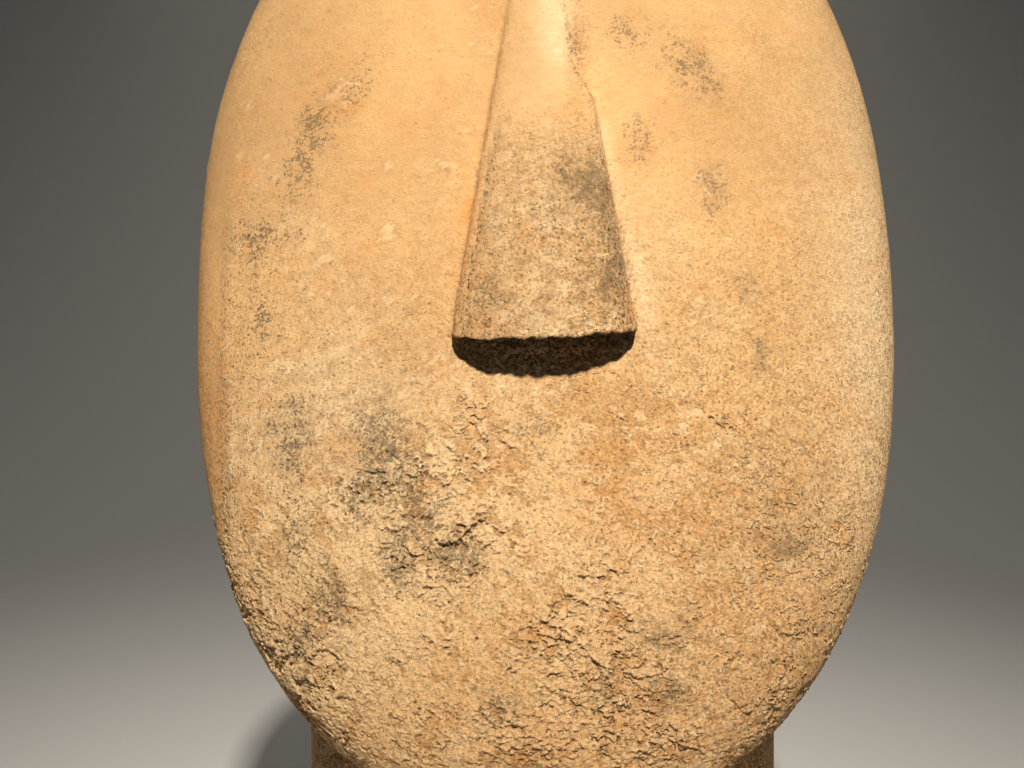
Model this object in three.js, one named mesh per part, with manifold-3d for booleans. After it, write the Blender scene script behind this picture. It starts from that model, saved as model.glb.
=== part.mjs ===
// A large Cycladic marble head on its neck, cut flat below so that it stands by itself.
// Millimetres, +Z up, the face towards -Y. The origin is the middle of the flat underside of the neck.
// The head is an egg-shaped oval that leans back over a wide oval neck. A long wedge nose, rounded
// across and cut off flat below, is the only feature carved on the blank face.

import * as THREE from "three";
import { mergeVertices } from "three/addons/utils/BufferGeometryUtils.js";
import Module from "manifold-3d";

const degrees = THREE.MathUtils.degToRad;

// The head, measured up from the chin and out from its widest line.
const HEAD_WIDTH = 145;
const HEAD_HEIGHT = 212;
const WIDEST_LEVEL = 104;
const FACE_DEPTH = 30;
const BACK_DEPTH = 50;
const HEAD_LEAN = degrees(10);
const CHIN_SET_FORWARD = 34;

// The neck, from the flat cut up to the chin.
const NECK_HEIGHT = 46;
const NECK_WIDTH = 102;
const NECK_DEPTH = 64;
const NECK_FLARE_WIDTH = 2.5;
const NAPE_INSET = 6;
const WORN_ARRIS = 1.5;

// The nose, measured up from the chin and out from the face.
const NOSE_LEVEL = 94;
const NOSE_LENGTH = 85;
const NOSE_WIDTH = 35;
const BRIDGE_WIDTH = 7.5;
const NOSE_PROJECTION = 9;
const BRIDGE_PROJECTION = 1.6;
const BRIDGE_SUNK = 1.5;
const NOSE_ROOT = 8;
const NOSE_CUT_TILT = degrees(2);
const NOSE_CUT_DROOP = degrees(7);

// How square each curve is: 2 is an ellipse, and more is squarer.
const OUTLINE_SQUARENESS = { chin: 2.35, crown: 2.2 };
const FACE_SQUARENESS = { chin: 2.4, crown: 3 };
const BACK_SQUARENESS = { chin: 2.7, crown: 2 };
const SECTION_SQUARENESS = 2.4;
const NOSE_SQUARENESS = 2.3;

// Facets round and along each form.
const HEAD_FACETS = { round: 80, along: 44 };
const NECK_FACETS = { round: 72, along: 14 };
const NOSE_FACETS = { round: 36, along: 14 };

const MARBLE = new THREE.MeshStandardMaterial({
  color: 0xd9ab74,
  roughness: 0.9,
  metalness: 0,
});

const wasm = await Module();
wasm.setup();

// The share of its full size that a form has at a level from -1, the chin, to 1, the crown.
function fullness(level, squareness) {
  const n = level < 0 ? squareness.chin : squareness.crown;
  return Math.max(0, 1 - Math.abs(level) ** n) ** (1 / n);
}

// The height above the chin of a level from -1 to 1.
function heightAt(level) {
  const reach = level < 0 ? WIDEST_LEVEL : HEAD_HEIGHT - WIDEST_LEVEL;
  return WIDEST_LEVEL + level * reach;
}

// The level from -1 to 1 of a height above the chin.
function levelAt(height) {
  const above = height - WIDEST_LEVEL;
  return above / (above < 0 ? WIDEST_LEVEL : HEAD_HEIGHT - WIDEST_LEVEL);
}

// Where the head's widest line lies front to back at a height above the chin.
function widestLineY(height) {
  return height * Math.tan(HEAD_LEAN) - CHIN_SET_FORWARD;
}

// The y of the middle of the face at a height above the chin.
function faceY(height) {
  return widestLineY(height) - FACE_DEPTH * fullness(levelAt(height), FACE_SQUARENESS);
}

// A point of a round form pushed out towards a squared oval: how far across and how far forward.
function squaredOval(vertex, squareness) {
  const round = Math.hypot(vertex.x, vertex.z) || 1;
  return [vertex.x, vertex.z].map((v) => Math.sign(v) * Math.abs(v / round) ** (2 / squareness));
}

// The geometry with each vertex moved to where place puts it.
function reshape(geometry, place) {
  geometry.deleteAttribute("normal");
  geometry.deleteAttribute("uv");
  const position = geometry.getAttribute("position");
  const vertex = new THREE.Vector3();
  for (let i = 0; i < position.count; i++) {
    vertex.fromBufferAttribute(position, i);
    position.setXYZ(i, ...place(vertex));
  }
  return geometry;
}

// The egg of the head: each level is a squared oval, shallow in front and deeper behind.
function headGeometry() {
  const ball = new THREE.SphereGeometry(1, HEAD_FACETS.round, HEAD_FACETS.along);
  return reshape(ball, (vertex) => {
    const level = THREE.MathUtils.clamp(vertex.y, -1, 1);
    const height = heightAt(level);
    const [across, forward] = squaredOval(vertex, SECTION_SQUARENESS);
    const halfWidth = (HEAD_WIDTH / 2) * fullness(level, OUTLINE_SQUARENESS);
    const depth =
      forward > 0
        ? FACE_DEPTH * fullness(level, FACE_SQUARENESS)
        : BACK_DEPTH * fullness(level, BACK_SQUARENESS);
    return [across * halfWidth, widestLineY(height) - forward * depth, NECK_HEIGHT + height];
  });
}

// The neck: an oval column that flares a little to its worn lower edge and runs up behind into the
// back of the head.
function neckGeometry() {
  const top = NECK_HEIGHT + WIDEST_LEVEL;
  const napeY = widestLineY(WIDEST_LEVEL) + BACK_DEPTH - NAPE_INSET;
  const column = new THREE.CylinderGeometry(1, 1, 1, NECK_FACETS.round, NECK_FACETS.along);
  return reshape(column, (vertex) => {
    const band = Math.round((vertex.y + 0.5) * NECK_FACETS.along);
    // The first band is the worn arris of the cut, and the others share the rest of the height.
    const height =
      band === 0 ? 0 : THREE.MathUtils.lerp(WORN_ARRIS, top, (band - 1) / (NECK_FACETS.along - 1));
    const flare = NECK_FLARE_WIDTH * Math.max(0, 1 - height / NECK_HEIGHT) ** 2;
    const grown = band === 0 ? flare - WORN_ARRIS : flare;
    const back = THREE.MathUtils.lerp(NECK_DEPTH / 2, napeY, height / top);
    const depth = vertex.z > 0 ? NECK_DEPTH / 2 : back;
    return [vertex.x * (NECK_WIDTH / 2 + grown), -vertex.z * (depth + grown), height];
  });
}

// The nose: a rounded wedge that sinks into the forehead, and widens and stands prouder down to a
// flat cut that tilts to one side and droops towards its front edge.
function noseGeometry() {
  const wedge = new THREE.CylinderGeometry(1, 1, 1, NOSE_FACETS.round, NOSE_FACETS.along);
  return reshape(wedge, (vertex) => {
    const up = vertex.y + 0.5;
    const height = NOSE_LEVEL + up * NOSE_LENGTH;
    const [across, forward] = squaredOval(vertex, NOSE_SQUARENESS);
    const share = Math.hypot(vertex.x, vertex.z);
    const projection = THREE.MathUtils.lerp(NOSE_PROJECTION, BRIDGE_PROJECTION, up);
    const x = (share * across * THREE.MathUtils.lerp(NOSE_WIDTH, BRIDGE_WIDTH, up)) / 2;
    const proud = share * forward * (forward > 0 ? projection : NOSE_ROOT) - up * BRIDGE_SUNK;
    const cut = (1 - up) * (x * Math.tan(NOSE_CUT_TILT) - proud * Math.tan(NOSE_CUT_DROOP));
    return [x, faceY(height) - proud, NECK_HEIGHT + height + cut];
  });
}

// A closed geometry as a solid that can be joined.
function solidOf(geometry) {
  const merged = mergeVertices(geometry);
  return new wasm.Manifold(
    new wasm.Mesh({
      numProp: 3,
      vertProperties: merged.getAttribute("position").array,
      triVerts: new Uint32Array(merged.index.array),
    }),
  );
}

// A solid as a geometry that can be drawn.
function geometryOf(solid) {
  const { vertProperties, triVerts } = solid.getMesh();
  const geometry = new THREE.BufferGeometry();
  geometry.setAttribute("position", new THREE.BufferAttribute(vertProperties, 3));
  geometry.setIndex(new THREE.BufferAttribute(triVerts, 1));
  geometry.computeVertexNormals();
  return geometry;
}

// Head, neck and nose, carved from one block.
function marbleHead() {
  const carved = solidOf(headGeometry())
    .add(solidOf(neckGeometry()))
    .add(solidOf(noseGeometry()));
  const mesh = new THREE.Mesh(geometryOf(carved), MARBLE);
  mesh.name = "marble_head";
  return mesh;
}

const figure = new THREE.Group();
figure.add(marbleHead());

export default figure;
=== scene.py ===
"""A large Cycladic marble head: the weathered stone, its crust of lime and its stage."""

import math
from itertools import product

import bpy
import numpy as np
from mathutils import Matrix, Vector


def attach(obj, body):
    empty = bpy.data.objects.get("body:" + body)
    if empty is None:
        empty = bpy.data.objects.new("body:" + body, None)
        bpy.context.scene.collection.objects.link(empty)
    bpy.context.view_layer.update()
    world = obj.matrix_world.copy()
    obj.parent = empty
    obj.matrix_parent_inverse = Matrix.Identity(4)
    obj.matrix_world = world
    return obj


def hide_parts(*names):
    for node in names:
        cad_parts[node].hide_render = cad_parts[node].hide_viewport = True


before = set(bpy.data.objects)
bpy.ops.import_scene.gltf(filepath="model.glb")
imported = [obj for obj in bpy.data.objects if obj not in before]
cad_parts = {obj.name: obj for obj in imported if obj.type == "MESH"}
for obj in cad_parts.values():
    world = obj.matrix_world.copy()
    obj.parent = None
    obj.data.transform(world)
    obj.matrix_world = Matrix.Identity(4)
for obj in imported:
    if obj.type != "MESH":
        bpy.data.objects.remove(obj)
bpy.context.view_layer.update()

bl_info = {
    "name": "Cycladic marble head",
    "version": (1, 0, 0),
    "blender": (4, 5, 0),
    "location": "3D View > Sidebar > Marble head",
    "description": "Carves and weathers a large marble head on its neck",
    "category": "Object",
}

MM = 0.001
CAD_NODE = "marble_head"

# How square the head's curves are, below and above its widest level: 2 is an ellipse.
OUTLINE_CURVE = (2.35, 2.2)
FACE_CURVE = (2.4, 3.0)
BACK_CURVE = (2.7, 2.0)
SECTION_CURVE = 2.4
NOSE_CURVE = (2.3, 5.0)

# The line of the old break along the right side of the nose's bridge: heights, and how far right
# of the middle of the nose it runs there.
BREAK_HEIGHT = (181.0, 184.0, 192.0, 206.0, 226.0)
BREAK_ACROSS = (30.0, 11.5, 5.9, 4.3, 2.6)

# How deep the nose's wedge reaches into the face, the heights of its cut and its top with half its
# width there, and the heights between which its rough skin begins.
NOSE_ROOT = 8.0
NOSE_ENDS = (140, 225)
NOSE_HALVES = (17.5, 3.75)
NOSE_FOOT = (134, 139)

# The cones of rays that find the surface, from the middle of the cut underside to the crown: the
# height of each cone's tip in millimetres, and its angle from straight down in degrees. The cone
# at the share of the rim meets the edge of the flat cut, and the columns of the meshes are spaced
# along the ring where the cone at the share of the spacing leaves the stone.
CONE_TIPS = (30.0, 32.0, 62.0, 177.0, 177.0, 177.0)
CONE_ANGLES = (0.0, 60.0, 72.0, 45.0, 54.0, 180.0)
CONE_AXIS_Y = -4.0
RIM_SHARE = 0.2
SPACING_SHARE = 0.68

# The shares between which the crust's rows are looked for, and the share that is clear of the neck.
FACE_SHARES = (0.35, 0.9)
CHIN_SHARE = 0.38

# The steps along each ray and how far it is followed, in millimetres, and how often the last step
# is halved.
RAY_STEP = 4.0
RAY_END = 200.0
HALVINGS = 14

# How deep inside the stone each tile of the crust is closed behind, at its border and its middle.
SKIRT_DEPTH = 3.0
INNER_DEPTH = 12.0

# What turns two random colours from 0 to 1 into a tilt each way, and on the whole downwards.
DOWNWARD_TILT = (-1, -1, -1.7)

# Large odd numbers that scramble the numbers of a cell.
ODD = np.array((374761393, 668265263, 1274126177, 2246822519, 3266489917), np.uint32)

# The turn about a slanting axis by which the lattices of layered noise differ, so that no lines of
# theirs run level or upright.
TURN = np.array(((0.36, 0.48, -0.8), (-0.8, 0.60, 0.0), (0.48, 0.64, 0.6)))


# Sizes and colours.


def length(name, about, millimetres):
    """A property that holds a length, kept in metres."""
    return bpy.props.FloatProperty(
        name=name,
        description=about,
        default=millimetres * MM,
        min=0.0,
        precision=5,
        subtype="DISTANCE",
        unit="LENGTH",
    )


def angle(name, about, degrees):
    """A property that holds an angle, kept in radians."""
    return bpy.props.FloatProperty(
        name=name,
        description=about,
        default=math.radians(degrees),
        subtype="ANGLE",
        unit="ROTATION",
    )


def colour(name, about, value):
    """A property that holds a linear colour."""
    return bpy.props.FloatVectorProperty(
        name=name,
        description=about,
        default=value,
        size=3,
        min=0.0,
        max=1.0,
        subtype="COLOR",
    )


class MarbleForm(bpy.types.PropertyGroup):
    """The carved form, with the same sizes as the solid."""

    head_width: length("Head width", "Width of the face at its widest", 145)
    head_height: length("Head height", "From the chin to the crown", 212)
    widest_level: length("Widest level", "Height of the widest part above the chin", 104)
    face_depth: length("Face depth", "From the widest line to the front of the face", 30)
    back_depth: length("Back depth", "From the widest line to the back of the head", 50)
    head_lean: angle("Lean", "How far the head leans back", 10)
    chin_forward: length("Chin forward", "How far the chin stands before the neck's axis", 34)
    neck_height: length("Neck height", "From the flat cut to the chin", 46)
    neck_width: length("Neck width", "Width of the neck under the jaw", 102)
    neck_depth: length("Neck depth", "Depth of the neck", 64)
    neck_flare: length("Neck flare", "How much wider the neck is at its cut", 2.5)
    nape_inset: length("Nape inset", "How far inside the head the nape's line ends", 6)
    nose_level: length("Nose level", "Height of the nose's cut above the chin, at its root", 94)
    nose_length: length("Nose length", "From the cut to where the bridge dies away", 85)
    nose_width: length("Nose width", "Width of the nose at its cut", 35)
    bridge_width: length("Bridge width", "Width of the nose at its top", 7.5)
    nose_aside: length("Nose aside", "How far left of the middle the nose stands", 0.6)
    nose_projection: length("Nose projection", "How far the nose stands out at its cut", 9)
    bridge_projection: length("Bridge projection", "How far it stands out at its top", 1.6)
    bridge_sunk: length("Bridge sunk", "How far its top sinks into the forehead", 1.5)
    nose_cut_tilt: angle("Cut tilt", "How much higher the cut is on one side", 2)
    nose_cut_droop: angle("Cut droop", "How far the cut falls towards its front edge", 7)


class CrustSettings(bpy.types.PropertyGroup):
    """The flaking skin of lime over the lower face."""

    columns: bpy.props.IntProperty(
        name="Columns", description="Mesh columns across the face", default=740, min=16
    )
    rows: bpy.props.IntProperty(
        name="Rows", description="Mesh rows up the face", default=514, min=16
    )
    half_turn: angle("Half turn", "How far round from the middle it reaches", 78)
    lowest: length("Lowest", "Height of its lower border in the middle", 50)
    highest: length("Highest", "Height of its upper border in the middle", 138)
    thickness: length("Thickness", "Thickness of its lower layer", 0.2)
    second: length("Second layer", "Thickness of the layer on that", 0.22)
    scales: length("Scales", "How far its little scales stand out at their lips", 0.32)
    sunk: length("Sunk", "How deep it lies in the stone where it has fallen off", 0.5)


class MarbleSurface(bpy.types.PropertyGroup):
    """Wear, weathering and the fineness of the mesh."""

    columns: bpy.props.IntProperty(
        name="Columns", description="Mesh columns round the head", default=272, min=32
    )
    rows: bpy.props.IntProperty(
        name="Rows", description="Mesh rows from the cut to the crown", default=356, min=32
    )
    nose_fillet: length("Nose fillet", "Softness of the join of nose and face", 0.6)
    jaw_fillet: length("Jaw fillet", "Softness of the join of neck and head", 7)
    worn_edge: length("Worn edge", "Wear of the nose's cut and of the neck's lower edge", 0.7)
    waves: length("Waves", "Height of the broad unevenness of the hand-rubbed form", 0.3)
    weathering: length("Weathering", "Depth of the small pits and lumps", 0.16)
    flakes: length("Flakes", "Thickness of the thin flakes of lime at the sides", 0.2)
    crystal: length("Crystal", "Width of the marble's crystals", 0.42)
    fine_relief: length("Fine relief", "Height of the crystals and scales", 1.0)


class MarbleColours(bpy.types.PropertyGroup):
    """The colours of the stone and of what lies on it."""

    honey: colour("Honey stone", "The stone's own weathered skin", (0.61, 0.357, 0.153))
    cream: colour("Cream crust", "The pale skin of lime", (0.90, 0.60, 0.30))
    tan: colour("Tan crust", "The lime where it is thin or stained", (0.76, 0.46, 0.20))
    # Also laid as painted highlights: on raised bits, on the top of the nose and beside its right
    # side, and as a paler strip down the right of the face.
    pale: colour("Pale lime", "The palest skin, by the bridge of the nose", (0.90, 0.66, 0.38))
    bare: colour("Bare stone", "The brown stone where the lime has come off", (0.50, 0.31, 0.14))
    # Also the warmer, darker painted shade at the chin, laid through the iron patches.
    ochre: colour("Ochre stain", "Iron stains and bare brownish stone", (0.66, 0.29, 0.08))
    lichen: colour("Grey patches", "The grey-green bloom in patches", (0.155, 0.112, 0.06))
    # Laid into the hollows, partly as dirt and partly as painted shade, and under the nose as a
    # painted shadow.
    dirt_and_painted_shade: colour("Dirt", "What has settled under the scales", (0.04, 0.02, 0.01))


class StageSettings(bpy.types.PropertyGroup):
    """Floor, light and camera."""

    floor: colour("Floor", "The pale floor and backdrop", (0.66, 0.65, 0.63))
    key_power: bpy.props.FloatProperty(
        name="Key power", description="Power of the main light", default=0.585, unit="POWER"
    )
    back_power: bpy.props.FloatProperty(
        name="Back power", description="Power of the light behind", default=3.0, unit="POWER"
    )
    fill: bpy.props.FloatProperty(
        name="Fill", description="Strength of the light from all round", default=0.07
    )
    camera_distance: length("Camera distance", "From the camera to the widest line", 300)
    camera_below: length("Camera below", "How far below the widest level it looks", 19.3)
    camera_aside: length("Camera aside", "How far left of the middle it stands", 6.7)
    camera_roll: angle("Camera roll", "Turn of the camera about its own axis", 0.1)
    focal_length: bpy.props.FloatProperty(
        name="Focal length", description="Lens on a 36 mm sensor, in mm", default=50.0
    )


# Noise.


def lattice(cell, seed):
    """Pseudo-random numbers from 0 to 1, one for each whole-numbered cell: its three numbers are
    multiplied by large odd numbers, added, and mixed by shifts and products that wrap round."""
    i = cell.astype(np.int64).astype(np.uint32)
    h = i[..., 0] * ODD[0] + i[..., 1] * ODD[1] + i[..., 2] * ODD[2]
    h = h + np.uint32(seed * int(ODD[3]) % 2**32)
    h = (h ^ (h >> np.uint32(15))) * ODD[3]
    h = (h ^ (h >> np.uint32(13))) * ODD[4]
    h = h ^ (h >> np.uint32(16))
    return h.astype(np.float64) / (2**32 - 1)


def noise(points, size, seed):
    """Smooth noise from about -1 to 1 with lumps of one size: a random number at each corner of a
    cubic lattice, blended between the corners by the curve 6t^5 - 15t^4 + 10t^3."""
    p = points / size
    base = np.floor(p)
    t = p - base
    t = t * t * t * (t * (t * 6 - 15) + 10)
    total = np.zeros(points.shape[:-1])
    for corner in product((0, 1), repeat=3):
        value = lattice(base + corner, seed)
        for k in range(3):
            value = value * (t[..., k] if corner[k] else 1 - t[..., k])
        total += value
    return total * 2 - 1


def layered(points, size, seed, layers=3, fade=0.5):
    """Noise of several sizes added up, each half as large as the last, weaker by fade and turned
    against it."""
    total = np.zeros(points.shape[:-1])
    weight, sum_of_weights = 1.0, 0.0
    for layer in range(layers):
        points = points @ TURN + 37.7
        total += weight * noise(points, size / 2**layer, seed + 11 * layer)
        sum_of_weights += weight
        weight *= fade
    return total / sum_of_weights


def scales(points, size, seed):
    """Overlapping scales, as the height of a sawtooth: each point belongs to the nearest of the
    random points of a cubic lattice, and its height is half that point's own random number, plus
    half of how far it lies below that point."""
    p = points / size
    base = np.floor(p)
    nearest = np.full(points.shape[:-1], 9.0)
    height = np.zeros(points.shape[:-1])
    for offset in product((-1, 0, 1), repeat=3):
        cell = base + offset
        away = [lattice(cell, seed + k) + cell[..., k] - p[..., k] for k in range(3)]
        distance = away[0] ** 2 + away[1] ** 2 + away[2] ** 2
        own = 0.5 * lattice(cell, seed + 7) + 0.5 * away[2]
        height = np.where(distance < nearest, own, height)
        nearest = np.minimum(distance, nearest)
    return height


def step(value, low, high):
    """0 below low, 1 above high, and the curve 3t^2 - 2t^3 between them."""
    t = np.clip((value - low) / (high - low), 0, 1)
    return t * t * (3 - 2 * t)


def fall(value, low, high):
    """1 below low, 0 above high, and the same curve between them."""
    return step(-value, -high, -low)


def lerp(a, b, t):
    """The straight line from a, at t = 0, to b, at t = 1."""
    return a + (b - a) * t


# The carved form.


def union(a, b, softness):
    """Two distance fields joined: the lesser of them, less a quarter of the squared overlap of the
    softness with their difference, which leaves a fillet."""
    return np.minimum(a, b) - np.maximum(softness - np.abs(a - b), 0) ** 2 / (4 * softness)


def common(a, b, softness):
    """What two distance fields share, with the edge between them rounded."""
    return -union(-a, -b, softness)


def fullness(level, curve):
    """The share of its full size that the head has at a level from -1, the chin, to 1, the crown:
    the nth root of 1 less the level to the nth power."""
    n = np.where(level < 0, curve[0], curve[1])
    return np.maximum(1e-9, 1 - np.minimum(1, np.abs(level)) ** n) ** (1 / n)


class Form:
    """The sizes of the carved form in millimetres, and its distance fields. A field is negative
    inside the stone, positive outside, and about the distance to the surface near it."""

    def __init__(self, sizes):
        """Takes each size over, and works out the lean's slope and where the nape's line ends."""
        for name in sizes.__annotations__:
            value = getattr(sizes, name)
            is_angle = name in ("head_lean", "nose_cut_tilt", "nose_cut_droop")
            setattr(self, name, value if is_angle else value / MM)
        self.slope = math.tan(self.head_lean)
        self.widest_z = self.neck_height + self.widest_level
        self.nape_y = self.widest_y(self.widest_level) + self.back_depth - self.nape_inset

    def level(self, height):
        """A height above the chin as a level from -1 to 1."""
        above = height - self.widest_level
        reach = np.where(above < 0, self.widest_level, self.head_height - self.widest_level)
        return above / reach

    def widest_y(self, height):
        """Where the widest line lies front to back: it leans back in a straight line."""
        return height * self.slope - self.chin_forward

    def face_y(self, height):
        """The middle line of the face: the widest line less the face's depth at that level."""
        full = fullness(self.level(height), FACE_CURVE)
        return self.widest_y(height) - self.face_depth * full

    def head(self, x, y, z):
        """Each level of the head is a squared oval, |x / half|^n + |y / depth|^n = 1, with one
        depth in front of the widest line and another behind it."""
        height = z - self.neck_height
        level = self.level(height)
        back = y - self.widest_y(height)
        half = self.head_width / 2 * fullness(level, OUTLINE_CURVE)
        front_depth = self.face_depth * fullness(level, FACE_CURVE)
        back_depth = self.back_depth * fullness(level, BACK_CURVE)
        depth = np.where(back < 0, front_depth, back_depth)
        n = SECTION_CURVE
        q = ((np.abs(x) / half) ** n + (np.abs(back) / depth) ** n) ** (1 / n)
        field = np.hypot(x, back) * (1 - 1 / np.maximum(q, 1e-6))
        return np.maximum(field, (np.abs(level) - 1) * self.widest_level)

    def neck(self, x, y, z):
        """An oval column that flares towards its cut, leans to the nape behind, and dies away
        inside the head."""
        flare = self.neck_flare * np.clip(1 - z / self.neck_height, 0, 1.5) ** 2
        front = self.neck_depth / 2
        depth = np.where(y < 0, front, lerp(front, self.nape_y, z / self.widest_z)) + flare
        q = np.hypot(x / (self.neck_width / 2 + flare), y / depth)
        field = np.hypot(x, y) * (1 - 1 / np.maximum(q, 1e-6))
        return field + 0.6 * np.maximum(0, z - self.neck_height - 0.6 * self.widest_level)

    def nose(self, x, y, z, edge):
        """A wedge whose section is a squared arch, flatter on top towards the forehead. It narrows
        and sinks upwards, a plane that droops towards its front edge and is a little nibbled cuts
        it off below, and what lies right of a ragged line along the bridge has broken off."""
        x = x + self.nose_aside
        height = z - self.neck_height
        proud = self.face_y(height) - y
        up = np.clip((height - self.nose_level) / self.nose_length, 0, 1)
        rise = np.maximum(proud + self.bridge_sunk * up, 1e-6)
        half = lerp(self.nose_width, self.bridge_width, up) / 2
        projection = lerp(self.nose_projection, self.bridge_projection, up)
        n = lerp(*NOSE_CURVE, np.sqrt(up))
        q = ((np.abs(x) / half) ** n + (rise / projection) ** n) ** (1 / n)
        arch = np.hypot(x, rise) * (1 - 1 / np.maximum(q, 1e-6))
        droop = proud * math.tan(self.nose_cut_droop)
        cut = self.nose_level - droop + x * math.tan(self.nose_cut_tilt) - height
        cut = cut + 0.2 * np.sin(2.9 * x) * np.sin(0.83 * x + 1) + 0.1 * np.sin(0.71 * x)
        top = height - self.nose_level - self.nose_length
        line = np.interp(z, BREAK_HEIGHT, BREAK_ACROSS)
        broken = x - line - 0.3 * np.sin(1.9 * z) - 0.2 * np.sin(4.7 * z + 1)
        arch = np.maximum(np.maximum(arch, -NOSE_ROOT - proud), broken)
        return np.maximum(common(arch, cut * math.cos(self.nose_cut_droop), edge), top)

    def stone(self, x, y, z, surface):
        """Head, neck and nose joined with fillets, and cut flat below with a worn edge."""
        head_and_neck = union(self.head(x, y, z), self.neck(x, y, z), surface.jaw_fillet / MM)
        nose = self.nose(x, y, z, surface.worn_edge / MM)
        whole = union(head_and_neck, nose, surface.nose_fillet / MM)
        return common(whole, -z, surface.worn_edge / MM)


def cone_rays(form, form_share, turn):
    """Start points and directions of the rays. form_share runs from 0, straight down, to 1,
    straight up, through the cones listed above, and turn is the angle round from the front. The
    second cone is bent so that its rays meet the edge of the flat cut all round: where a ray that
    runs level from the axis leaves the neck's oval, x^2/a^2 + y^2/b^2 = 1."""
    stations = np.linspace(0, 1, len(CONE_TIPS))
    tip = np.interp(form_share, stations, CONE_TIPS)
    wide = form.neck_width / 2 + form.neck_flare
    deep = form.neck_depth / 2 + form.neck_flare
    square = (np.sin(turn) / wide) ** 2 + (np.cos(turn) / deep) ** 2
    linear = -CONE_AXIS_Y * np.cos(turn) / deep**2
    rim = (np.sqrt(linear**2 + square * (1 - (CONE_AXIS_Y / deep) ** 2)) - linear) / square
    rim_angle = np.degrees(np.arctan2(rim, CONE_TIPS[1]))
    weight = np.maximum(0, 1 - np.abs(form_share / RIM_SHARE - 1))
    angles = np.interp(form_share, stations, CONE_ANGLES)
    down = np.radians(angles + weight * (rim_angle - CONE_ANGLES[1]))
    start = np.stack([0 * tip, 0 * tip + CONE_AXIS_Y, tip], -1)
    direction = np.stack(
        [np.sin(down) * np.sin(turn), -np.sin(down) * np.cos(turn), -np.cos(down)], -1
    )
    return start, direction


def reach(form, surface, start, direction):
    """How far along each ray the stone ends: even steps find where its field turns positive, and
    halving the last step narrows it down."""
    shape = direction.shape[:-1]
    low = np.zeros(shape)
    found = np.zeros(shape, bool)
    for distance in np.arange(RAY_STEP, RAY_END, RAY_STEP):
        p = start + direction * distance
        outside = form.stone(p[..., 0], p[..., 1], p[..., 2], surface) > 0
        found |= outside
        low = np.where(found, low, distance)
        if found.all():
            break
    high = low + RAY_STEP
    for _ in range(HALVINGS):
        middle = (low + high) / 2
        p = start + direction * middle[..., None]
        outside = form.stone(p[..., 0], p[..., 1], p[..., 2], surface) > 0
        high = np.where(outside, middle, high)
        low = np.where(outside, low, middle)
    return (low + high) / 2


def skin_points(form, surface, share, turn):
    """Where the rays of these shares and turns leave the stone."""
    start, direction = cone_rays(form, share, turn)
    return start + direction * reach(form, surface, start, direction)[..., None]


def even_shares(weights, count):
    """count shares from 0 to 1 placed so that the same sum of weights lies between each two."""
    total = np.concatenate([[0], np.cumsum((weights[1:] + weights[:-1]) / 2)])
    return np.interp(np.linspace(0, total[-1], count), total, np.linspace(0, 1, len(weights)))


def column_turns(form, surface, columns):
    """The turns of the mesh columns, spaced by the length of a ring of the skin at mid height, and
    nearly four times closer on the face than behind."""
    turn = np.linspace(-math.pi, math.pi, 1441)
    p = skin_points(form, surface, np.full_like(turn, SPACING_SHARE), turn)
    along = np.linalg.norm(np.gradient(p, axis=0), axis=-1)
    closeness = lerp(0.27, 1, step(np.cos(turn), -0.2, 0.35))
    shares = even_shares(along * closeness, columns + 1)
    return np.interp(shares, np.linspace(0, 1, len(turn)), turn)[:-1]


def row_shares(form, surface, rows):
    """The shares of the mesh rows, spaced by the length of the profiles down the front, the side
    and the back. They are closest on the face and at the rim of the flat cut, and far apart within
    the cut."""
    share = np.linspace(0, 1, 1601)
    lengths = 0
    for turn, weight in ((0, 1), (math.pi / 2, 0.3), (math.pi, 0.2)):
        p = skin_points(form, surface, share, np.full_like(share, turn))
        lengths = lengths + weight * np.linalg.norm(np.gradient(p, axis=0), axis=-1)
        if turn == 0:
            front = p
    closeness = np.where(share < RIM_SHARE, 0.16, lerp(0.55, 1, step(front[:, 2], 30, 60)))
    closeness = closeness * lerp(1, 0.5, step(front[:, 2], 205, 240))
    closeness = np.maximum(closeness, np.exp(-(((share - RIM_SHARE) / 0.01) ** 2)))
    return even_shares(lengths * closeness, rows + 2)[1:-1]


def grid_normals(points, closed=False):
    """Unit normals of a grid, open or closed round its second direction: the cross product of the
    steps along the two directions."""
    across = np.gradient(points, axis=1)
    if closed:
        across = np.roll(points, -1, 1) - np.roll(points, 1, 1)
    normal = np.cross(across, np.gradient(points, axis=0))
    return normal / np.maximum(np.linalg.norm(normal, axis=-1, keepdims=True), 1e-12)


def patch_turns(form, surface, crust):
    """The turns of the crust's columns, evenly spaced along a ring of the skin at mid height."""
    turn = np.linspace(-crust.half_turn, crust.half_turn, 721)
    p = skin_points(form, surface, np.full_like(turn, SPACING_SHARE), turn)
    along = np.linalg.norm(np.gradient(p, axis=0), axis=-1)
    return lerp(-crust.half_turn, crust.half_turn, even_shares(along, crust.columns))


def patch_shares(form, surface, crust):
    """The shares of the crust's rows, evenly spaced up the middle of the face."""
    share = np.linspace(*FACE_SHARES, 1401)
    p = skin_points(form, surface, share, np.zeros_like(share))
    z = p[:, 2]
    kept = (z > crust.lowest / MM) & (z < crust.highest / MM) & (share > CHIN_SHARE)
    share, p = share[kept], p[kept]
    along = np.linalg.norm(np.gradient(p, axis=0), axis=-1)
    return lerp(share[0], share[-1], even_shares(along, crust.rows))


# Weathering.


def crust_cover(p):
    """How much lime lies on the stone, from 0 to 1: most of it on the lower face, left of the
    middle, broken up by noise, and none on the smooth strip along the left cheek."""
    x, z = p[..., 0], p[..., 2]
    low = fall(z, 100, 146)
    patch = np.exp(-(((x + 24) / 54) ** 2 + ((z - 96) / 52) ** 2))
    sides = step(x, -66, -60) * lerp(0.3, 1, fall(x, 34, 60))
    ragged = layered(p, 14, 5, 4, 0.6)
    return np.clip((0.5 * low + 0.5 * patch) * sides + 0.45 * ragged, 0, 1)


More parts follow.
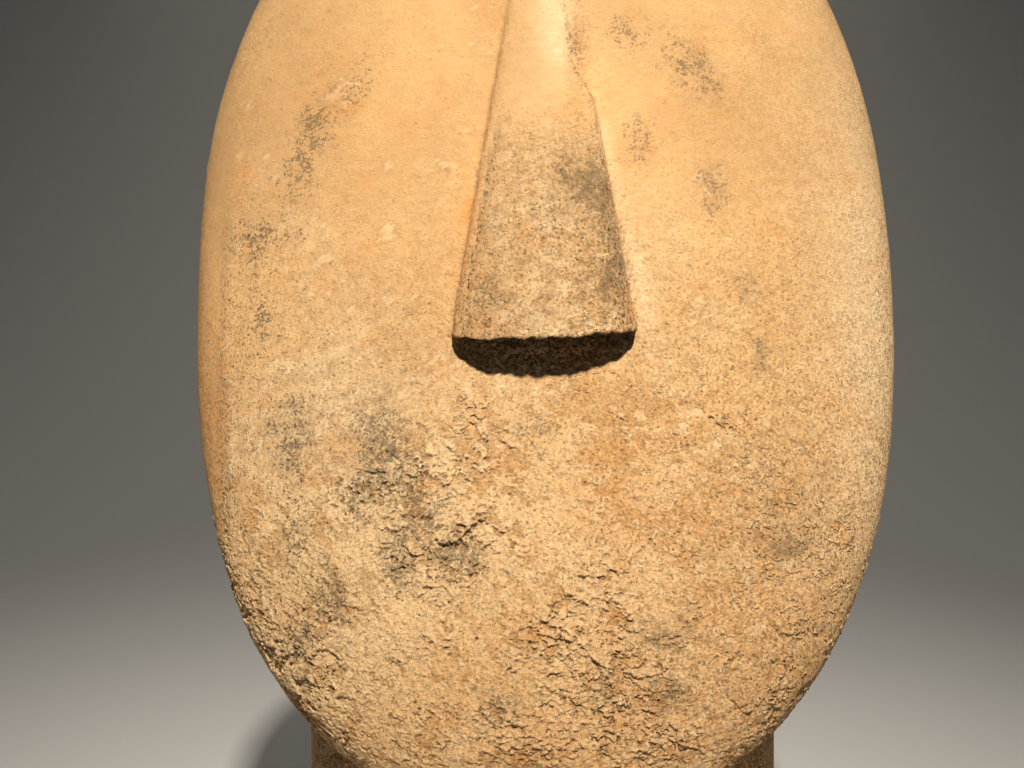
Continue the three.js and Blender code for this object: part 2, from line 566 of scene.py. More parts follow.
def painted_nose_shadow(form, p, normal):
    """How much painted shadow the underside of the nose gets, from 0 to 1: where the skin looks down
    between the two corners of the cut. The colour there is darkened to stand in for the nose's
    shadow."""
    level = p[..., 2] - form.neck_height - form.nose_level
    below = step(level, -7, -1) * fall(level, 2, 4)
    return below * fall(normal[..., 2], -0.7, -0.3) * fall(np.abs(p[..., 0]), 17, 21)


def roughness(p):
    """How broken the skin is, from 0 to 2: smooth on the forehead and along both sides, rough on
    the lower face, the nose and the scar beside its bridge, with noise to break up the change."""
    x, z = p[..., 0], p[..., 2]
    low = fall(z, 126, 182)
    aside = fall(np.abs(x + 4), 38, 70)
    front = fall(p[..., 1], -20, 5)
    beside = np.abs(x) - np.interp(z, NOSE_ENDS, NOSE_HALVES)
    nose = 1.55 * fall(beside, -2.2, -0.4) * fall(z, 160, 196) * step(z, *NOSE_FOOT) * front
    calm = lerp(0.34, 0.24, front)
    rough = np.maximum(lerp(calm, 1, low * lerp(0.4, 1, aside) * front), nose)
    rough = rough * lerp(1, 0.35, fall(x, -66, -61) * step(z, 84, 96))
    rough = rough + 0.6 * np.exp(-(((x - 6) / 2.2) ** 2) - ((z - 197) / 10) ** 2) * front
    return np.clip(rough + 0.16 * layered(p, 11, 21, 3), 0.06, 2.0)


def broad_relief(p, surface):
    """The unevenness of the hand-rubbed form in millimetres: slow waves, lumps of 5 mm where the
    skin is rough, bites out of the edge of the jaw, and a rubbed flat along the left cheek."""
    x, y, z = p[..., 0], p[..., 1], p[..., 2]
    out = surface.waves / MM * (0.9 * noise(p, 46, 1) + 0.5 * noise(p, 17, 2))
    out += surface.weathering / MM * roughness(p) * layered(p, 5.2, 3, 2)
    edge = fall(y, -25, 0) * fall(z, 66, 108) * step(np.abs(x), 30, 46) * step(z, 46, 56)
    bite = step(layered(p, 3.6, 9, 4, 0.7), 0.05, 0.3)
    out -= edge * bite * lerp(0.3, 0.8, fall(x, -30, 0))
    edge_x = 63 + 1.2 * layered(p, 30, 15, 2)
    rubbed = fall(x + edge_x, -1.6, 1.6) * step(z, 92, 112) * fall(z, 150, 178)
    out -= 0.35 * rubbed
    return out


def stone_relief(p, surface):
    """How far out the stone stands from the carved form: the broad unevenness, pits of 2 mm, thin
    flakes of lime at the sides, and nothing by the flat cut."""
    cover = crust_cover(p)
    flat = p * (1, 1, 1.5)
    out = broad_relief(p, surface)
    out += surface.weathering / MM * 1.2 * roughness(p) * layered(flat, 2.3, 4, 2, 0.8)
    flake = layered(flat, 7.5, 7, 5, 0.72)
    thick = lerp(0.3, 1, fall(p[..., 0], 20, 50))
    out += thick * surface.flakes / MM * step(flake + cover, 0.50, 0.62)
    return out * step(p[..., 2], 0.3, 3.0)


def crumbs(p):
    """Round lumps with sharp clefts between them, from 0 to about 1: the absolute value of noise
    of three sizes, each turned against the last."""
    total = 0.0
    for size, weight in ((2.1, 0.4), (1.05, 0.3), (0.6, 0.3)):
        p = p @ TURN + 5.3
        total = total + weight * np.abs(noise(p, size, 81))
    return 2 * total


# Wavy ledges of lime that stand out most: the points of each one's lower edge, across and up, and
# how far it stands out, in millimetres.
LEDGES = (
    ((-21.3, 102.9), (-19.6, 100.8), (-17, 101.3), (-14.8, 103.1), (-12.4, 105.6), (-10, 104.4), 0.8),
    ((14, 77.5), (17, 76.2), (20.5, 77.0), (23, 79.0), 0.35),
    ((-47, 84), (-43, 83), (-39.5, 84.6), 0.35),
    ((3.5, 91.6), (6, 90.2), (9.3, 89.3), 0.45),
    ((-20.8, 87.4), (-19.6, 86.4), (-18.2, 86.8), 0.5),
    ((-15.5, 93.8), (-14, 93.0), (-12.6, 93.4), 0.4),
    ((1.3, 86.2), (5, 83.4), (10.1, 78.2), (12.6, 72.3), 0.4),
    ((-24.1, 84.3), (-22, 83.8), (-19.5, 82.2), 0.4),
    ((-8.8, 78.6), (-7, 77.4), (-4.8, 77.8), 0.4),
    ((-5.7, 112), (-4.4, 110.6), (-2.5, 109.2), 0.4),
    ((-9.6, 115), (-8.8, 114.1), (-7.8, 113.9), 0.35),
    ((-26, 99.6), (-25.2, 98.6), (-24.2, 98.2), 0.4),
)


def ledges(p):
    """How far the ledges stand out: each one's full height just above its wavy edge, falling off
    upwards by the exponential of the distance, and nothing below the edge."""
    x = p[..., 0] + 0.5 * noise(p, 1.6, 71)
    z = p[..., 2] + 1.5 * layered(p, 2.0, 72, 4, 0.85)
    total = np.zeros(x.shape)
    for *edge, height in LEDGES:
        across, up = np.array(edge).T
        above = z - np.interp(x, across, up)
        ends = step(x, across[0] - 0.5, across[0] + 2) * fall(x, across[-1] - 2, across[-1] + 0.5)
        total += height * ends * np.exp(-np.maximum(above, 0) / 1.6) * step(above, -0.1, 0.1)
    return total


def brokenness(p, calm):
    """How far the lime breaks into scales: as the skin's own roughness goes, in patches of noise,
    most in two crumbly places, least in the calm one, and less towards the sides."""
    x, z = p[..., 0], p[..., 2]
    middle = lerp(0.25, 1, fall(x, 8, 44)) * lerp(0.25, 1, step(x, -50, -28))
    upper = lerp(0.45, 1, fall(z, 112, 134)) * lerp(0.62, 1, step(z, 64, 84))
    crumbly = np.exp(-(((x + 18) / 10) ** 2) - ((z - 105) / 15) ** 2)
    crumbly += np.exp(-(((x - 12) / 15) ** 2) - ((z - 77) / 9) ** 2)
    flaky = 1.15 * step(layered(p, 11, 39, 3, 0.6) + 0.4 * crumbly - 0.12, -0.2, 0.2)
    flaky *= (1 - 0.85 * calm) * upper
    return roughness(p) * flaky * middle


def crust_relief(p, surface, crust, inside):
    """How far out the skin of lime stands: two layers with ragged edges, each there where noise
    and the cover add up to enough, with little scales and root marks on them. Where there is no
    lime, and towards its border, it lies sunk in the stone. The second result is where the upper
    layer lies, from 0 to 1."""
    cover = crust_cover(p)
    turned = np.stack([p[..., 0] + 0.3 * p[..., 2], p[..., 1], 1.15 * p[..., 2]], -1)
    bend = np.stack([layered(p, 2.6, 31 + axis, 2) for axis in range(3)], -1)
    bent = turned + bend
    crumb = 2.2 * crumbs(turned + 0.5 * bend) - 0.7
    x, z = p[..., 0], p[..., 2]
    calm = np.exp(-(((x - 12) / 19) ** 2) - ((z - 117) / 16) ** 2)
    first = layered(turned, 4.6, 34, 6, 0.8) + 0.3 * crumb + lerp(-0.75, 0.72, cover) + 0.7 * calm
    second = layered(turned, 5.6, 35, 6, 0.7) + 0.15 * crumb + lerp(-0.5, 0.2, cover)
    border = inside + 7 * layered(p, 9, 36, 3)
    there = step(first, 0.0, 0.07) * step(border, 2, 4)
    thin = step(border, 2, 15) * lerp(0.3, 1, fall(x, 10, 44))
    rough = brokenness(p, calm)
    plates = step(second, 0.0, 0.06)
    skin = thin * (crust.thickness / MM + crust.second / MM * plates * lerp(0.5, 1.3, rough))
    lips = lerp(0.15, 1, rough) * (1.3 * scales(bent, 2.0, 40) - 0.35)
    fine = 0.9 * scales(turned + 0.4 * bend, 0.95, 60) + 0.6 * crumb - 0.2
    fine *= lerp(0.4, 0.85, rough)
    skin += crust.scales / MM * lerp(0.5, 1, thin) * (lips + fine)
    skin += ledges(p)
    root = np.abs(layered(p, 11, 13, 2, 0.4))
    skin += 0.3 * step(layered(p, 16, 14, 2), 0.12, 0.3) * fall(root, 0.012, 0.05)
    return broad_relief(p, surface) + lerp(-crust.sunk / MM, skin, there), plates * there * thin


def tiles(crust):
    """The name of each of the crust's four tiles, and its rows and columns of the patch. The rows
    and columns at the joints belong to both neighbours."""
    row, column = crust.rows // 2, crust.columns // 2
    for level, rows in (("lower", slice(0, row)), ("upper", slice(row - 1, None))):
        for side, columns in (("left", slice(0, column)), ("right", slice(column - 1, None))):
            yield f"lime_crust_{level}_{side}", (rows, columns)


def grid_quads(rows, columns):
    """The faces of an open grid, by the numbers of their corners."""
    corner = np.arange(rows - 1)[:, None] * columns + np.arange(columns - 1)
    return np.stack([corner, corner + 1, corner + columns + 1, corner + columns], -1).reshape(-1, 4)


def closed_grid(points, bottom, top):
    """Vertices and faces of a grid of rings, closed round and shut by a point at each end."""
    rows, columns = points.shape[:2]
    vertices = np.concatenate([points.reshape(-1, 3), [bottom, top]])
    i = np.arange(rows - 1)[:, None] * columns
    j = np.arange(columns)[None, :]
    after = (j + 1) % columns
    quads = np.stack([i + j, i + after, i + columns + after, i + columns + j], -1).reshape(-1, 4)
    ring = np.arange(columns)
    after = (ring + 1) % columns
    first = np.stack([after, ring, np.full(columns, rows * columns)], -1)
    last = (rows - 1) * columns
    final = np.stack([last + ring, last + after, np.full(columns, rows * columns + 1)], -1)
    return vertices, quads, np.concatenate([first, final])


def closed_patch(points, inward, inner):
    """Vertices and faces of an open grid. A skirt goes straight in from its border by the inward
    steps, and triangles from the skirt's edge to the inner point close it behind."""
    rows, columns = points.shape[:2]
    quads = grid_quads(rows, columns)
    number = np.arange(rows * columns).reshape(rows, columns)
    border = np.concatenate([number[0], number[1:, -1], number[-1, -2::-1], number[-2:0:-1, 0]])
    hem = rows * columns + np.arange(len(border))
    skirt = np.stack([np.roll(border, -1), border, hem, np.roll(hem, -1)], -1)
    tip = np.full(len(border), hem[-1] + 1)
    hem_points = (points + inward).reshape(-1, 3)[border]
    vertices = np.concatenate([points.reshape(-1, 3), hem_points, [inner]])
    return vertices, np.concatenate([quads, skirt]), np.stack([np.roll(hem, -1), hem, tip], -1)


def mesh_object(name, vertices, quads, triangles):
    """A smooth-shaded object from vertices in millimetres, quads and triangles."""
    mesh = bpy.data.meshes.new(name)
    mesh.vertices.add(len(vertices))
    mesh.vertices.foreach_set("co", (vertices * MM).astype(np.float32).ravel())
    corners = np.concatenate([quads.ravel(), triangles.ravel()]).astype(np.int32)
    mesh.loops.add(len(corners))
    mesh.loops.foreach_set("vertex_index", corners)
    sizes = np.concatenate([np.full(len(quads), 4), np.full(len(triangles), 3)])
    starts = np.concatenate([[0], np.cumsum(sizes)[:-1]]).astype(np.int32)
    mesh.polygons.add(len(sizes))
    mesh.polygons.foreach_set("loop_start", starts)
    mesh.polygons.foreach_set("use_smooth", np.ones(len(sizes), bool))
    mesh.update(calc_edges=True)
    mesh.validate()
    made = bpy.data.objects.new(name, mesh)
    bpy.context.collection.objects.link(made)
    return made


# Looks stored on the meshes.


def spots(p, places):
    """Soft oval patches on the face added up. Each place holds the middle across and up, the half
    width, the half height, the slant in degrees and the strength."""
    x, z = p[..., 0], p[..., 2]
    total = np.zeros(x.shape)
    for middle_x, middle_z, wide, high, slant, strength in places:
        c, s = math.cos(math.radians(slant)), math.sin(math.radians(slant))
        across = (c * (x - middle_x) + s * (z - middle_z)) / wide
        along = (c * (z - middle_z) - s * (x - middle_x)) / high
        total += strength * np.exp(-(across**2) - along**2)
    return total * fall(p[..., 1], -20, 0)


# Patches of grey bloom, of pale lime and of iron stain that show on the face, in millimetres. Some
# pale patches are painted highlights, and the iron patch at the chin is painted shade; each is noted
# where it stands.
BLOOM = (
    (-48, 175, 3.5, 9, -20, 0.55),
    (-38, 188, 3, 10, -25, 0.4),
    (-53, 160, 6, 3, 0, 0.5),
    (-61, 160, 3, 3, 0, 0.4),
    (-56, 144, 3, 5, 10, 0.6),
    (7, 169, 5, 6, 30, 0.85),
    (6.2, 199, 1.2, 8, 0, 0.3),
    (13, 155, 3, 9, 10, 0.4),
    (-11, 147, 3, 3, 0, 0.6),
    (11, 150, 3, 4, 0, 0.5),
    (-31, 120, 5, 8, 20, 0.75),
    (-23, 106, 5, 8, 30, 0.75),
    (-49, 119, 3, 7, 20, 0.7),
    (-16, 98, 4, 4, 0, 0.85),
    (-41, 91, 4, 8, 15, 0.65),
    (-2, 122, 5, 4, 0, 0.45),
    (17, 200, 5, 4, 0, 0.4),
    (27, 194, 4, 6, 0, 0.45),
    (18, 178, 4, 6, 0, 0.35),
    (38, 150, 3, 4, 0, 0.4),
    (45, 100, 6, 3, 0, 0.6),
    (21, 84, 6, 4, 0, 0.5),
    (-46, 183, 2.5, 5, -15, 0.5),
    (-57, 157, 2.5, 4, 0, 0.5),
    (-47, 125, 2.5, 4, 20, 0.4),
    (-35, 110, 4, 5, 0, 0.7),
    (-28, 98, 3, 5, 0, 0.75),
    (-48, 103, 3, 5, -20, 0.65),
    (-47, 82, 3, 6, 0, 0.7),
    (32, 190, 3, 5, 20, 0.5),
    (32, 168, 3, 5, 0, 0.5),
    (41, 137, 2, 5, 0, 0.5),
    (23, 74, 5, 4, 0, 0.5),
    (-9, 71, 5, 4, 0, 0.4),
    (11, 75, 4, 4, 0, 0.4),
)
PALE = (
    # Top of the nose: partly pale lime, partly a painted highlight.
    (2, 205, 4.5, 12, 0, 0.9),
    (-2, 160, 10, 22, 0, 0.35),
    # These two make a strip beside the right side of the nose: partly pale lime, partly a painted
    # highlight where the face there is lit.
    (17, 152, 2.6, 14, 12, 0.7),
    (11.5, 176, 1.6, 10, 10, 0.5),
    (24, 158, 6, 12, 10, 0.25),
    # A long patch that makes the right side of the face paler.
    (66, 140, 12, 60, 0, 0.8),
    # Top of the nose again: partly pale lime, partly a painted highlight.
    (3, 196, 3, 5, 0, 0.4),
    (-40, 122, 16, 24, 0, 0.35),
)
IRON_STAINS_AND_CHIN_SHADE = (
    (-15, 162, 2.5, 8, 0, 0.8),
    (-13, 174, 1.6, 16, -9, 0.5),
    (5, 183, 4, 4, 0, 0.5),
    (-12, 150, 3, 4, 0, 0.4),
    # A long patch that makes the left edge of the face browner and darker.
    (-69, 126, 7, 30, 0, 0.85),
    (6.3, 197, 1.6, 8, 0, 0.7),
    # Painted shade: darker and warmer at the chin, where the face turns down away from the light.
    (0, 58, 60, 22, 0, 0.45),
    (8, 112, 16, 14, 0, 0.5),
    (14, 90, 30, 18, 0, 0.3),
    (-40, 190, 14, 20, 0, 0.25),
    (30, 180, 12, 20, 0, 0.2),
)


def tanned(p):
    """How brown the rough lower part of the nose's ridge is, from 0 to 1."""
    x, z = p[..., 0], p[..., 2]
    on_nose = fall(np.abs(x), 15, 18) * step(z, *NOSE_FOOT) * fall(z, 158, 186)
    return on_nose * fall(p[..., 1], -20, 0) * (0.16 + 0.3 * layered(p, 6, 51, 3))


def hollows(out, cells=2):
    """How far each point of a grid of heights lies below the mean of the square round it, which
    reaches this many cells each way, from 0 to 1 for a quarter of a millimetre."""
    rows, columns = out.shape
    around = np.pad(out, cells, "edge")
    side = range(2 * cells + 1)
    total = sum(around[i : i + rows, j : j + columns] for i in side for j in side)
    return np.clip((total / len(side) ** 2 - out) / 0.25, 0, 1)


def keep_looks(made, ends, **values):
    """Stores a grid of numbers for each look on the object, with zeros for its last vertices."""
    for name, grid in values.items():
        attribute = made.data.attributes.new(name, "FLOAT", "POINT")
        numbers = np.append(grid, np.zeros(ends)).astype(np.float32)
        attribute.data.foreach_set("value", numbers)


# Materials.


class Nodes:
    """A short way to add nodes to a tree and to link them."""

    def __init__(self, tree):
        """Keeps the tree that the nodes go into."""
        self.tree = tree

    def add(self, kind, values=None, **settings):
        """A node of this kind with settings on it and values on its inputs, which may be links."""
        node = self.tree.nodes.new(kind)
        for key, value in settings.items():
            setattr(node, key, value)
        for key, value in (values or {}).items():
            if isinstance(value, bpy.types.NodeSocket):
                self.tree.links.new(value, node.inputs[key])
            else:
                node.inputs[key].default_value = value
        return node

    def math(self, operation, a, b):
        """The result of one sum on two numbers."""
        return self.add("ShaderNodeMath", {0: a, 1: b}, operation=operation).outputs[0]

    def times(self, a, b):
        """The product of two numbers."""
        return self.math("MULTIPLY", a, b)

    def vector(self, operation, *values, output=0, **named):
        """The result of one sum on vectors."""
        inputs = {**dict(enumerate(values)), **named}
        return self.add("ShaderNodeVectorMath", inputs, operation=operation).outputs[output]

    def sum(self, *values):
        """All the numbers added up."""
        total = values[0]
        for value in values[1:]:
            total = self.math("ADD", total, value)
        return total

    def mix(self, share, a, b):
        """Colour b laid over colour a by a share."""
        return self.add("ShaderNodeMix", {0: share, 6: a, 7: b}, data_type="RGBA").outputs[2]

    def ramp(self, value, low, high):
        """0 where value is under low and 1 where it is over high, with a soft step between."""
        values = {0: value, 1: low, 2: high}
        return self.add("ShaderNodeMapRange", values, interpolation_type="SMOOTHSTEP").outputs[0]

    def noise(self, place, size, detail=2.0, roughness=0.5):
        """Noise from 0 to 1 with lumps of a size in millimetres."""
        values = {"Vector": place, "Scale": 1.0 / size, "Detail": detail}
        values["Roughness"] = roughness
        return self.add("ShaderNodeTexNoise", values).outputs[0]


def group(name, inputs, outputs):
    """An empty shader node group, and the sockets inside it: vectors where a default is None, and
    numbers otherwise."""
    tree = bpy.data.node_groups.new(name, "ShaderNodeTree")
    for direction, sockets in (("INPUT", inputs), ("OUTPUT", outputs)):
        for socket_name, default in sockets:
            vector = default is None
            made = tree.interface.new_socket(
                name=socket_name,
                in_out=direction,
                socket_type="NodeSocketVector" if vector else "NodeSocketFloat",
            )
            if not vector:
                made.default_value = default
    nodes = Nodes(tree)
    return nodes, nodes.add("NodeGroupInput").outputs, nodes.add("NodeGroupOutput").inputs


def grain_group():
    """Sugary crystals: each cell of a Voronoi pattern is one crystal with a height, a tone and a
    tint of its own. Its face tilts by the product of a random direction with the way from the
    cell's middle, and on the whole it stands out below."""
    nodes, given, gives = group(
        "Sugary grain",
        [("Place", None), ("Size", 1.0)],
        [("Height", 0.0), ("Tone", 0.0), ("Tint", 0.0)],
    )
    per_size = nodes.math("DIVIDE", 1.0, given["Size"])
    sized = nodes.vector("SCALE", given["Place"], Scale=per_size)
    cells = nodes.add(
        "ShaderNodeTexVoronoi", {"Vector": sized, "Scale": 1.0, "Randomness": 1.0}, feature="F1"
    )
    tilt = nodes.vector("MULTIPLY_ADD", cells.outputs["Color"], (2, 2, 2), DOWNWARD_TILT)
    away = nodes.vector("SUBTRACT", sized, cells.outputs["Position"])
    slope = nodes.vector("DOT_PRODUCT", tilt, away, output="Value")
    own = nodes.add("ShaderNodeSeparateColor", {0: cells.outputs["Color"]}).outputs
    height = nodes.sum(nodes.times(slope, 0.5), nodes.times(own[0], 0.4))
    for name, value in (("Height", height), ("Tone", own[0]), ("Tint", own[1])):
        nodes.tree.links.new(value, gives[name])
    return nodes.tree


def stone_material(name, tones, colours, surface, grain):
    """Weathered stone: a slow change between two tones under layers of colour, which are pale lime
    with painted highlights, brown where the lime has come off, rust stains with painted shade at the
    chin, rusty crystals, grey bloom, grime with painted shade in the hollows, and a painted shadow
    under the nose. The sugary grain lightens and darkens it and stands out in the bump."""
    material = bpy.data.materials.new(name)
    material.use_nodes = True
    material.node_tree.nodes.clear()
    nodes = Nodes(material.node_tree)
    where = nodes.add("ShaderNodeTexCoord").outputs["Object"]
    place = nodes.vector("SCALE", where, Scale=1 / MM)

    def attribute(key):
        """The numbers stored on the mesh under this name."""
        return nodes.add("ShaderNodeAttribute", attribute_name=key).outputs["Fac"]

    rough = attribute("rough")
    values = {"Place": place, "Size": surface.crystal / MM}
    crystals = nodes.add("ShaderNodeGroup", values, node_tree=grain).outputs
    facet = crystals["Tone"]
    lumps = nodes.noise(place, 2.6, 4.0, 0.65)
    sand = nodes.noise(place, 0.6, 3.0, 0.7)
    height = nodes.times(
        rough,
        nodes.sum(
            nodes.times(crystals["Height"], 0.85),
            nodes.times(sand, 0.7),
            nodes.times(lumps, 0.5),
        ),
    )

    broad = nodes.noise(place, 38.0, 3.0, 0.55)
    blotch = nodes.noise(place, 9.0, 4.0, 0.6)
    off = nodes.times(attribute("bare"), nodes.ramp(lumps, 0.3, 0.55))
    stain_and_chin_shade = nodes.times(attribute("iron"), nodes.ramp(lumps, 0.3, 0.65))
    rusty = nodes.times(nodes.ramp(crystals["Tint"], 0.55, 0.95), rough)
    ragged = nodes.ramp(nodes.noise(place, 3.0, 5.0, 0.75), 0.4, 0.6)
    bloom = nodes.times(attribute("bloom"), nodes.sum(ragged, 0.45))
    dots = nodes.noise(place, 1.6, 5.0, 0.8)
    spread = nodes.sum(nodes.times(bloom, 0.5), 0.25)
    salt = nodes.times(nodes.math("SUBTRACT", facet, 0.5), spread)
    speckle = nodes.sum(nodes.times(bloom, 0.38), dots, salt)
    # Painted shade: the hollows darken, partly as dirt and partly as shade, and the underside of the
    # nose goes nearly black as a painted shadow.
    dark = nodes.sum(
        nodes.times(attribute("hollow"), 0.38),
        nodes.times(attribute("shelter"), 0.94),
    )
    colour = nodes.mix(nodes.ramp(broad, 0.35, 0.7), (*tones[0], 1), (*tones[1], 1))
    for share, over in (
        # Pale lime, with painted highlights on raised bits, on the top of the nose and beside its
        # right side.
        (nodes.times(attribute("pale"), 0.8), colours.pale),
        (nodes.times(off, 0.75), colours.bare),
        (nodes.times(nodes.ramp(blotch, 0.52, 0.72), 0.32), colours.ochre),
        # Iron stains, and the painted shade at the chin.
        (nodes.times(stain_and_chin_shade, 0.75), colours.ochre),
        (nodes.math("MINIMUM", nodes.times(rusty, 0.3), 0.3), colours.ochre),
        (nodes.times(bloom, 0.2), colours.lichen),
        (nodes.times(nodes.ramp(speckle, 0.62, 0.86), 0.68), colours.lichen),
        # Dirt and painted shade in the hollows, and the painted shadow under the nose.
        (nodes.math("MINIMUM", dark, 0.94), colours.dirt_and_painted_shade),
    ):
        colour = nodes.mix(share, colour, (*over, 1))
    mottle = nodes.times(nodes.noise(place, 2.6, 6.0, 0.8), 0.3)
    sparkle = nodes.math("SUBTRACT", nodes.times(facet, 0.36), 0.18)
    light = nodes.sum(nodes.times(sparkle, rough), mottle, 0.79)
    lit = nodes.vector("SCALE", colour, Scale=light)
    bump = nodes.add(
        "ShaderNodeBump", {"Strength": 1.0, "Distance": surface.fine_relief, "Height": height}
    ).outputs[0]
    shader = nodes.add(
        "ShaderNodeBsdfPrincipled",
        {"Base Color": lit, "Roughness": 0.86, "Specular IOR Level": 0.25, "Normal": bump},
    )
    nodes.add("ShaderNodeOutputMaterial", {"Surface": shader.outputs[0]})
    return material


# Operators.


class OBJECT_OT_marble_stone(bpy.types.Operator):
    """Carve the marble head on its neck and weather its skin"""

    bl_idname = "object.marble_stone"
    bl_label = "Marble stone"

    def execute(self, context):
        """Finds the carved form along rays, moves its skin in and out, and gives it its finish."""
        surface = context.scene.marble_surface
        colours = context.scene.marble_colours
        form = Form(context.scene.marble_form)
        turns = column_turns(form, surface, surface.columns)
        shares = row_shares(form, surface, surface.rows)
        turn, share = np.meshgrid(turns, shares)
        carved = skin_points(form, surface, share, turn)
        normal = grid_normals(carved, closed=True)
        out = stone_relief(carved, surface)
        points = carved + normal * out[..., None]
        bottom = (0, CONE_AXIS_Y, 0)
        top = points[-1].mean(0)
        stone = mesh_object("marble_stone", *closed_grid(points, bottom, top))
        keep_looks(
            stone,
            2,
            rough=roughness(carved),
            bare=np.maximum(0.7 * step(crust_cover(carved), 0.6, 0.95), tanned(carved)),
            # Pale lime, and a painted highlight where the skin stands above its surroundings.
            pale=spots(carved, PALE) + 0.3 * step(crust_cover(carved), 0.15, 0.5) + hollows(-out),
            # Darker where the skin lies below its surroundings: partly dirt, partly painted shade.
            hollow=hollows(out),
            bloom=spots(carved, BLOOM),
            # Iron stains, and painted shade at the chin.
            iron=spots(carved, IRON_STAINS_AND_CHIN_SHADE),
            # The painted shadow under the nose, laid as a near-black colour.
            shelter=painted_nose_shadow(form, carved, normal),
        )
        tones = (colours.honey, colours.tan)
        material = stone_material("weathered_marble", tones, colours, surface, grain_group())
        stone.data.materials.append(material)
        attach(stone, "root")
        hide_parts(CAD_NODE)
        return {"FINISHED"}


class OBJECT_OT_lime_crust(bpy.types.Operator):
    """Lay the flaking crust of lime over the lower face"""

    bl_idname = "object.lime_crust"
    bl_label = "Lime crust"

    def execute(self, context):
        """Finds a finer patch of the carved face along rays, moves it out by the lime's layers,
        and makes it as four tiles that share their border rows, each closed behind."""
        surface = context.scene.marble_surface
        crust = context.scene.lime_crust
        colours = context.scene.marble_colours
        form = Form(context.scene.marble_form)
        turns = patch_turns(form, surface, crust)
        shares = patch_shares(form, surface, crust)
        turn, share = np.meshgrid(turns, shares)
        carved = skin_points(form, surface, share, turn)
        normal = grid_normals(carved)
        row = np.arange(crust.rows)[:, None]
        column = np.arange(crust.columns)[None, :]
        spacing = (crust.highest - crust.lowest) / MM / crust.rows
        inside = spacing * np.minimum(
            np.minimum(3 * row, crust.rows - 1 - row),
            np.minimum(column, crust.columns - 1 - column),
        )
        out, plates = crust_relief(carved, surface, crust, inside)
        points = carved + normal * out[..., None]
        skin_normal = grid_normals(points)
        looks = {
            "rough": roughness(carved),
            # Darker where the skin lies below its surroundings: partly dirt, partly painted shade.
            "hollow": hollows(out, 4),
            "bloom": spots(carved, BLOOM),
            "bare": 0.8 * (1 - plates),
            # Iron stains and bare stone, and painted shade at the chin.
            "iron": spots(carved, IRON_STAINS_AND_CHIN_SHADE) + 0.28 * (1 - plates),
            # Pale lime, and a painted highlight where the skin stands above its surroundings.
            "pale": spots(carved, PALE) + 0.3 * plates + 0.75 * hollows(-out, 4),
        }
        tones = (colours.cream, colours.tan)
        grain = bpy.data.node_groups["Sugary grain"]
        material = stone_material("lime_skin", tones, colours, surface, grain)
        for name, part in tiles(crust):
            middle = points[part].reshape(-1, 3).mean(0) + (0, INNER_DEPTH, 0)
            closed = closed_patch(points[part], -SKIRT_DEPTH * normal[part], middle)
            lime = mesh_object(name, *closed)
            faced = skin_normal[part].reshape(-1, 3)
            extra = len(closed[0]) - len(faced)
            faced = np.concatenate([faced, np.tile((0, -1, 0), (extra, 1))])
            lime.data.normals_split_custom_set_from_vertices(faced)
            keep_looks(lime, extra, **{key: grid[part] for key, grid in looks.items()})
            lime.data.materials.append(material)
            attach(lime, "root")
        return {"FINISHED"}


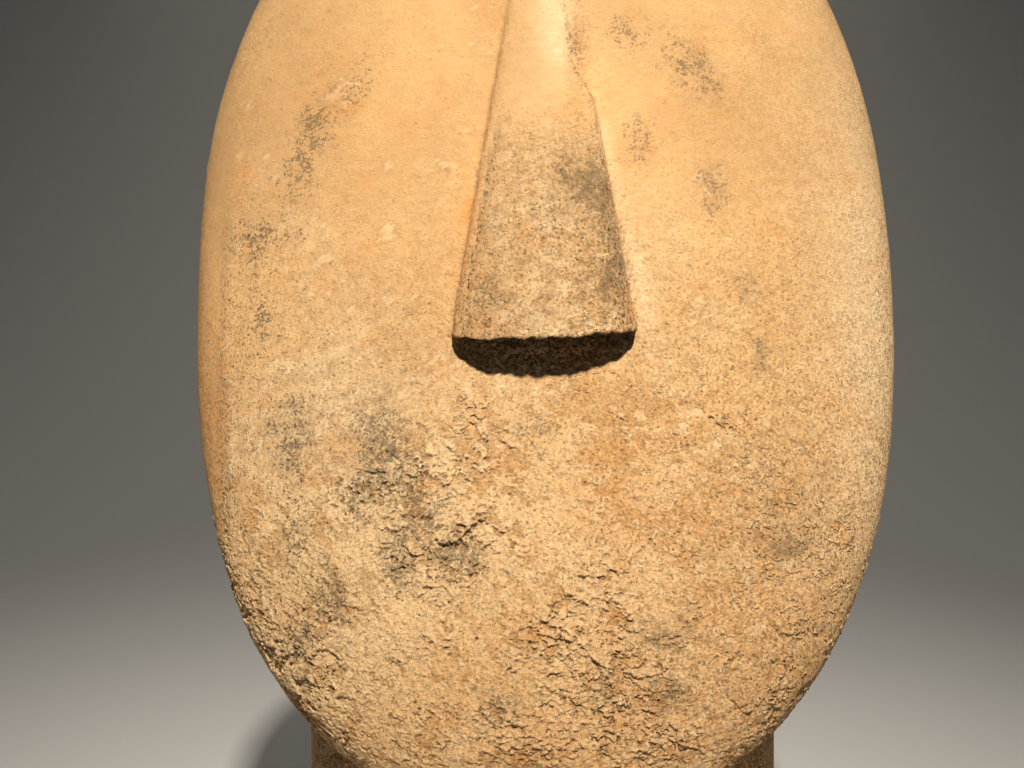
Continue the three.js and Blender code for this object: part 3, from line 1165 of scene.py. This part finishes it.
class OBJECT_OT_marble_stage(bpy.types.Operator):
    """Lay the floor, hang the lights and set up the camera"""

    bl_idname = "object.marble_stage"
    bl_label = "Stage"

    def execute(self, context):
        """Makes the floor with its backdrop, two soft lights, the sky and the camera."""
        settings = context.scene.marble_stage
        form = Form(context.scene.marble_form)
        self.floor(settings)
        self.lights(context, settings)
        camera = bpy.data.cameras.new("camera")
        camera.lens = settings.focal_length
        camera.sensor_width = 36
        camera.clip_start = 0.01
        holder = bpy.data.objects.new("camera", camera)
        context.collection.objects.link(holder)
        widest_y = form.widest_y(form.widest_level) * MM
        holder.location = (
            -settings.camera_aside,
            widest_y - settings.camera_distance,
            form.widest_z * MM - settings.camera_below,
        )
        holder.rotation_euler = (math.pi / 2, settings.camera_roll, 0)
        context.scene.camera = holder
        return {"FINISHED"}

    def floor(self, settings):
        """A sheet that runs back flat and sweeps up in a quarter circle to a wall."""
        along = np.linspace(0, 1, 60)
        flat, radius, wall, ahead, half_width = 1.6, 0.6, 1.6, 0.9, 2.5
        travelled = along * (flat + radius * math.pi / 2 + wall)
        bend = np.clip((travelled - flat) / radius, 0, math.pi / 2)
        rise = np.maximum(0, travelled - flat - radius * math.pi / 2)
        y = np.minimum(travelled, flat) + radius * np.sin(bend) - ahead
        z = radius * (1 - np.cos(bend)) + rise
        x = np.linspace(-half_width, half_width, 12)
        grid = np.stack(np.broadcast_arrays(x[None, :], y[:, None], z[:, None]), -1)
        quads = grid_quads(*grid.shape[:2])
        sheet = mesh_object("floor", grid.reshape(-1, 3) / MM, quads, np.zeros((0, 3), int))
        material = bpy.data.materials.new("pale_floor")
        material.use_nodes = True
        shader = material.node_tree.nodes["Principled BSDF"]
        shader.inputs["Base Color"].default_value = (*settings.floor, 1)
        shader.inputs["Roughness"].default_value = 0.9
        sheet.data.materials.append(material)

    def lights(self, context, settings):
        """A narrow key light above the camera, a broad one behind for the rim, and an even sky."""
        target = Vector((0, -0.04, 0.14))
        for name, towards, away, size, power, spread in (
            ("key", (0.04, -0.743, 0.669), 1.0, 0.05, settings.key_power, 0.6),
            ("back", (0.0, 0.85, 0.55), 1.4, 0.9, settings.back_power, math.pi),
        ):
            data = bpy.data.lights.new(name, "AREA")
            data.size = size
            data.spread = spread
            data.energy = power
            data.color = (1.0, 0.93, 0.82)
            holder = bpy.data.objects.new(name, data)
            back = Vector(towards).normalized()
            holder.location = target + back * away
            holder.rotation_euler = back.to_track_quat("Z", "Y").to_euler()
            context.collection.objects.link(holder)
        world = bpy.data.worlds.new("sky")
        world.use_nodes = True
        background = world.node_tree.nodes["Background"]
        background.inputs[0].default_value = (1.0, 0.97, 0.93, 1)
        background.inputs[1].default_value = settings.fill
        context.scene.world = world
        context.scene.view_settings.view_transform = "Standard"


class VIEW3D_PT_marble_head(bpy.types.Panel):
    """Lists the steps and their sizes in the sidebar"""

    bl_label = "Marble head"
    bl_idname = "VIEW3D_PT_marble_head"
    bl_space_type = "VIEW_3D"
    bl_region_type = "UI"
    bl_category = "Marble head"

    def draw(self, context):
        """Draws a button for each operator and a field for each size and colour."""
        for operator in OPERATORS:
            self.layout.operator(operator.bl_idname)
        for key, settings in SETTINGS.items():
            box = self.layout.box()
            for name in settings.__annotations__:
                box.prop(getattr(context.scene, key), name)


OPERATORS = (OBJECT_OT_marble_stone, OBJECT_OT_lime_crust, OBJECT_OT_marble_stage)
SETTINGS = {
    "marble_form": MarbleForm,
    "marble_surface": MarbleSurface,
    "lime_crust": CrustSettings,
    "marble_colours": MarbleColours,
    "marble_stage": StageSettings,
}


def register():
    """Registers the classes and hangs the settings on the scene."""
    for made in (*SETTINGS.values(), *OPERATORS, VIEW3D_PT_marble_head):
        bpy.utils.register_class(made)
    for key, settings in SETTINGS.items():
        setattr(bpy.types.Scene, key, bpy.props.PointerProperty(type=settings))


def unregister():
    """Takes the settings and the classes away again."""
    for key in SETTINGS:
        delattr(bpy.types.Scene, key)
    for made in (VIEW3D_PT_marble_head, *reversed(OPERATORS), *reversed(SETTINGS.values())):
        bpy.utils.unregister_class(made)


def main():
    """Makes the piece and its stage."""
    register()
    bpy.ops.object.marble_stone()
    bpy.ops.object.lime_crust()
    bpy.ops.object.marble_stage()


if __name__ == "__main__":
    main()
